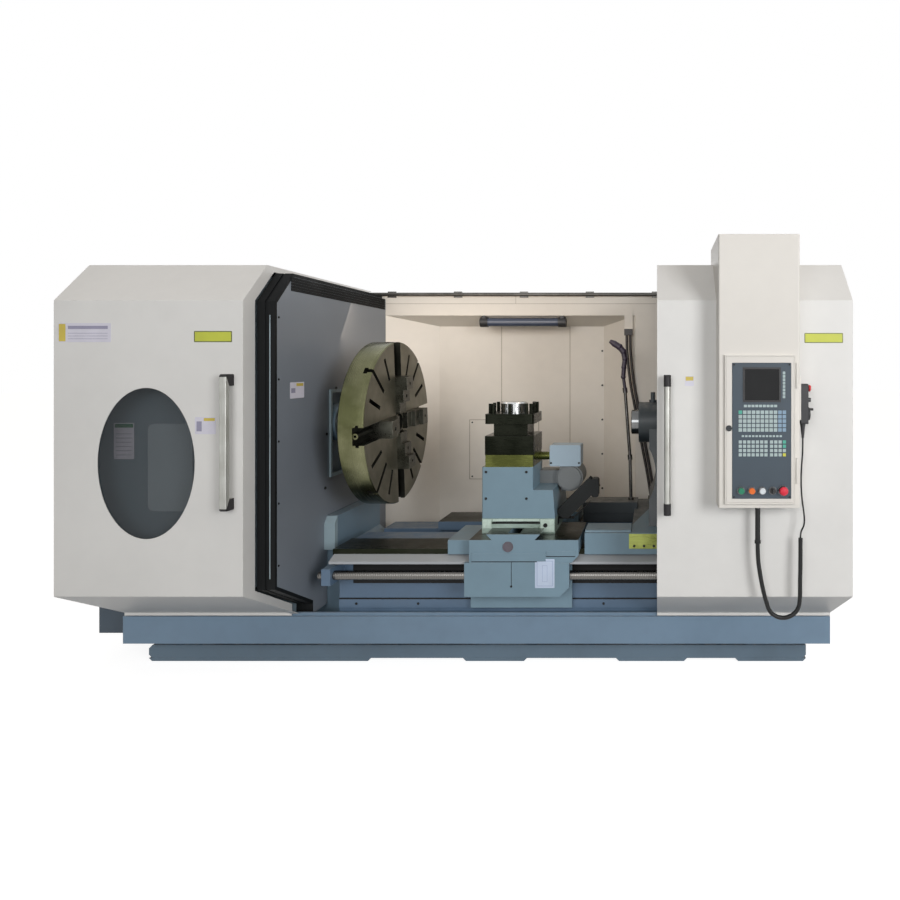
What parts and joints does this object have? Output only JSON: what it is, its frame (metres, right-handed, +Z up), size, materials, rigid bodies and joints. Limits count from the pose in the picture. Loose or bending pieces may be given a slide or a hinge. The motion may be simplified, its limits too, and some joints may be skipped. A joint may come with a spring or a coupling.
{
  "type": "cnc turning lathe",
  "caption": "Flat-bed CNC turning lathe with a large chuck, a square tool turret, a tailstock, two sliding hoods and a control column.",
  "frame": {"origin": "on the floor under the spindle axis, at the middle of the machine's length", "axes": "+X along the spindle from the headstock towards the tailstock, +Y away from the operator, +Z up"},
  "size_m": [4.285, 1.9135, 2.384],
  "materials": {
    "paint_blue": "satin",
    "paint_bed": "satin",
    "paint_apron": "satin",
    "paint_guard": "satin",
    "paint_wall": "satin",
    "paint_wall_dark": "satin",
    "paint_hood": "satin",
    "paint_cabinet": "satin",
    "steel": "ground",
    "chuck_steel": "oiled",
    "turret_steel": "oiled",
    "bare_olive": "oiled",
    "cast_dark": "painted dark",
    "motor_black": "satin",
    "aluminium_bar": "anodised",
    "chromed": "polished",
    "lamp": "clear",
    "pane": "clear",
    "black_plastic": "matt",
    "panel_plastic": "matt",
    "pendant_plastic": "satin",
    "green_plastic": "gloss",
    "orange_plastic": "gloss",
    "white_plastic": "gloss",
    "red_plastic": "gloss",
    "belt_rubber": "matt",
    "conduit": "matt",
    "cable_black": "matt"
  },
  "bodies": {
    "base": {"levelling_pads": "cast_dark", "foot_frame": "paint_blue", "chip_tray": "paint_blue", "bed": "paint_bed", "screw_guard": "paint_bed", "z_motor": "motor_black", "headstock": "paint_bed", "spindle_bearings": "steel", "drive_belt": "belt_rubber", "main_motor": "motor_black", "headstock_guard": "paint_guard", "bulkhead": "paint_wall_dark", "bulkhead_seal": "black_plastic", "rear_guard": "paint_wall", "top_rail": "steel", "work_light": "lamp", "tail_guard": "paint_guard", "wall_hoses": "conduit"},
    "left_hood": {"left_hood": "paint_hood", "left_window": "pane", "left_handle": "aluminium_bar"},
    "right_hood": {"right_hood": "paint_hood", "right_handle": "aluminium_bar", "control_cabinet": "paint_cabinet", "pendant_body": "pendant_plastic", "pendant_conduit": "conduit", "pendant_cable": "cable_black"},
    "panel_door": {"panel_door": "paint_cabinet", "cnc_panel": "panel_plastic"},
    "panel_latch": {"panel_latch": "chromed"},
    "green_button": {"green_button": "green_plastic"},
    "orange_button": {"orange_button": "orange_plastic"},
    "white_button": {"white_button": "white_plastic"},
    "mode_selector": {"mode_selector": "black_plastic"},
    "panel_stop": {"panel_stop": "red_plastic"},
    "pendant_wheel": {"pendant_wheel": "black_plastic"},
    "pendant_axis_knob": {"pendant_axis_knob": "black_plastic"},
    "pendant_step_knob": {"pendant_step_knob": "black_plastic"},
    "pendant_stop": {"pendant_stop": "red_plastic"},
    "spindle": {"spindle": "steel", "chuck_body": "chuck_steel"},
    "jaw_1": {"jaw_1": "chuck_steel"},
    "jaw_2": {"jaw_2": "chuck_steel"},
    "jaw_3": {"jaw_3": "chuck_steel"},
    "jaw_4": {"jaw_4": "chuck_steel"},
    "motor_pulley": {"motor_pulley": "cast_dark"},
    "z_screw": {"z_screw": "steel"},
    "carriage": {"saddle": "bare_olive", "apron": "paint_apron", "x_motor": "motor_black"},
    "x_screw": {"x_screw": "steel"},
    "cross_slide": {"cross_slide": "bare_olive", "turret_post": "bare_olive", "turret_motor": "motor_black", "cable_chain": "black_plastic"},
    "turret": {"turret_head": "turret_steel"},
    "tailstock": {"tailstock_body": "bare_olive", "coolant_pipe": "cable_black"},
    "quill": {"quill": "steel"},
    "tail_handwheel": {"tail_handwheel": "cast_dark"}
  },
  "joints": [
    {"name": "left_hood_slide", "type": "slide", "parent": "base", "child": "left_hood", "axis": [1, 0, 0], "range_m": [0, 1.039]},
    {"name": "right_hood_slide", "type": "slide", "parent": "base", "child": "right_hood", "axis": [1, 0, 0], "range_m": [-1.039, 0]},
    {"name": "spindle_turn", "type": "hinge", "parent": "base", "child": "spindle", "pos_m": [-0.7, 0, 1.394], "axis": [1, 0, 0], "continuous": true},
    {"name": "motor_turn", "type": "hinge", "parent": "base", "child": "motor_pulley", "pos_m": [-1.58, -0.4, 0.64], "axis": [1, 0, 0], "continuous": true},
    {"name": "jaw_1_slide", "type": "slide", "parent": "spindle", "child": "jaw_1", "axis": [0, -0.0785, 0.9969], "range_m": [-0.008, 0.19]},
    {"name": "jaw_2_slide", "type": "slide", "parent": "spindle", "child": "jaw_2", "axis": [0, -0.9969, -0.0785], "range_m": [-0.008, 0.19]},
    {"name": "jaw_3_slide", "type": "slide", "parent": "spindle", "child": "jaw_3", "axis": [0, 0.0785, -0.9969], "range_m": [-0.008, 0.19]},
    {"name": "jaw_4_slide", "type": "slide", "parent": "spindle", "child": "jaw_4", "axis": [0, 0.9969, 0.0785], "range_m": [-0.008, 0.19]},
    {"name": "z_screw_turn", "type": "hinge", "parent": "base", "child": "z_screw", "pos_m": [0.6, -0.42, 0.573], "axis": [1, 0, 0], "range_deg": [-721, 18001]},
    {"name": "carriage_slide", "type": "slide", "parent": "base", "child": "carriage", "axis": [1, 0, 0], "range_m": [-0.5, 0.02]},
    {"name": "x_screw_turn", "type": "hinge", "parent": "carriage", "child": "x_screw", "pos_m": [0.3625, 0.1, 0.765], "axis": [0, 1, 0], "range_deg": [-18001, 7201]},
    {"name": "cross_slide", "type": "slide", "parent": "carriage", "child": "cross_slide", "axis": [0, 1, 0], "range_m": [-0.1, 0.25]},
    {"name": "turret_turn", "type": "hinge", "parent": "cross_slide", "child": "turret", "pos_m": [0.308, -0.19, 1.4], "axis": [0, 0, 1], "continuous": true},
    {"name": "tailstock_slide", "type": "slide", "parent": "base", "child": "tailstock", "axis": [1, 0, 0], "range_m": [0, 0.35]},
    {"name": "tail_handwheel_turn", "type": "hinge", "parent": "tailstock", "child": "tail_handwheel", "pos_m": [1.585, 0, 1.394], "axis": [1, 0, 0], "range_deg": [0, 5400]},
    {"name": "quill_slide", "type": "slide", "parent": "tailstock", "child": "quill", "axis": [-1, 0, 0], "range_m": [0, 0.15]},
    {"name": "panel_door_swing", "type": "hinge", "parent": "right_hood", "child": "panel_door", "pos_m": [1.834, -0.9225, 1.44], "axis": [0, 0, 1], "range_deg": [0, 100]},
    {"name": "panel_latch_turn", "type": "hinge", "parent": "panel_door", "child": "panel_latch", "pos_m": [1.505, -0.9275, 1.4457], "axis": [0, -1, 0], "range_deg": [0, 90]},
    {"name": "green_button_press", "type": "slide", "parent": "panel_door", "child": "green_button", "axis": [0, 1, 0], "range_m": [0, 0.005], "stiffness_N_per_m": 400},
    {"name": "orange_button_press", "type": "slide", "parent": "panel_door", "child": "orange_button", "axis": [0, 1, 0], "range_m": [0, 0.005], "stiffness_N_per_m": 400},
    {"name": "white_button_press", "type": "slide", "parent": "panel_door", "child": "white_button", "axis": [0, 1, 0], "range_m": [0, 0.005], "stiffness_N_per_m": 400},
    {"name": "mode_selector_turn", "type": "hinge", "parent": "panel_door", "child": "mode_selector", "pos_m": [1.7155, -0.9295, 1.1453], "axis": [0, -1, 0], "range_deg": [-45, 45]},
    {"name": "panel_stop_press", "type": "slide", "parent": "panel_door", "child": "panel_stop", "axis": [0, 1, 0], "range_m": [0, 0.006], "stiffness_N_per_m": 600},
    {"name": "pendant_wheel_turn", "type": "hinge", "parent": "right_hood", "child": "pendant_wheel", "pos_m": [1.894, -0.865, 1.51], "axis": [1, 0, 0], "continuous": true},
    {"name": "pendant_axis_turn", "type": "hinge", "parent": "right_hood", "child": "pendant_axis_knob", "pos_m": [1.894, -0.886, 1.58], "axis": [1, 0, 0], "range_deg": [-60, 60]},
    {"name": "pendant_step_turn", "type": "hinge", "parent": "right_hood", "child": "pendant_step_knob", "pos_m": [1.894, -0.844, 1.58], "axis": [1, 0, 0], "range_deg": [-60, 60]},
    {"name": "pendant_stop_press", "type": "slide", "parent": "right_hood", "child": "pendant_stop", "axis": [-1, 0, 0], "range_m": [0, 0.006], "stiffness_N_per_m": 600}
  ],
  "couplings": [
    {"joint": "motor_turn", "follows": "spindle_turn", "ratio": 2.5},
    {"joint": "z_screw_turn", "follows": "carriage_slide", "rad_per_m": -628.32},
    {"joint": "x_screw_turn", "follows": "cross_slide", "rad_per_m": -1256.6},
    {"joint": "quill_slide", "follows": "tail_handwheel_turn", "m_per_rad": 0.0015915}
  ]
}
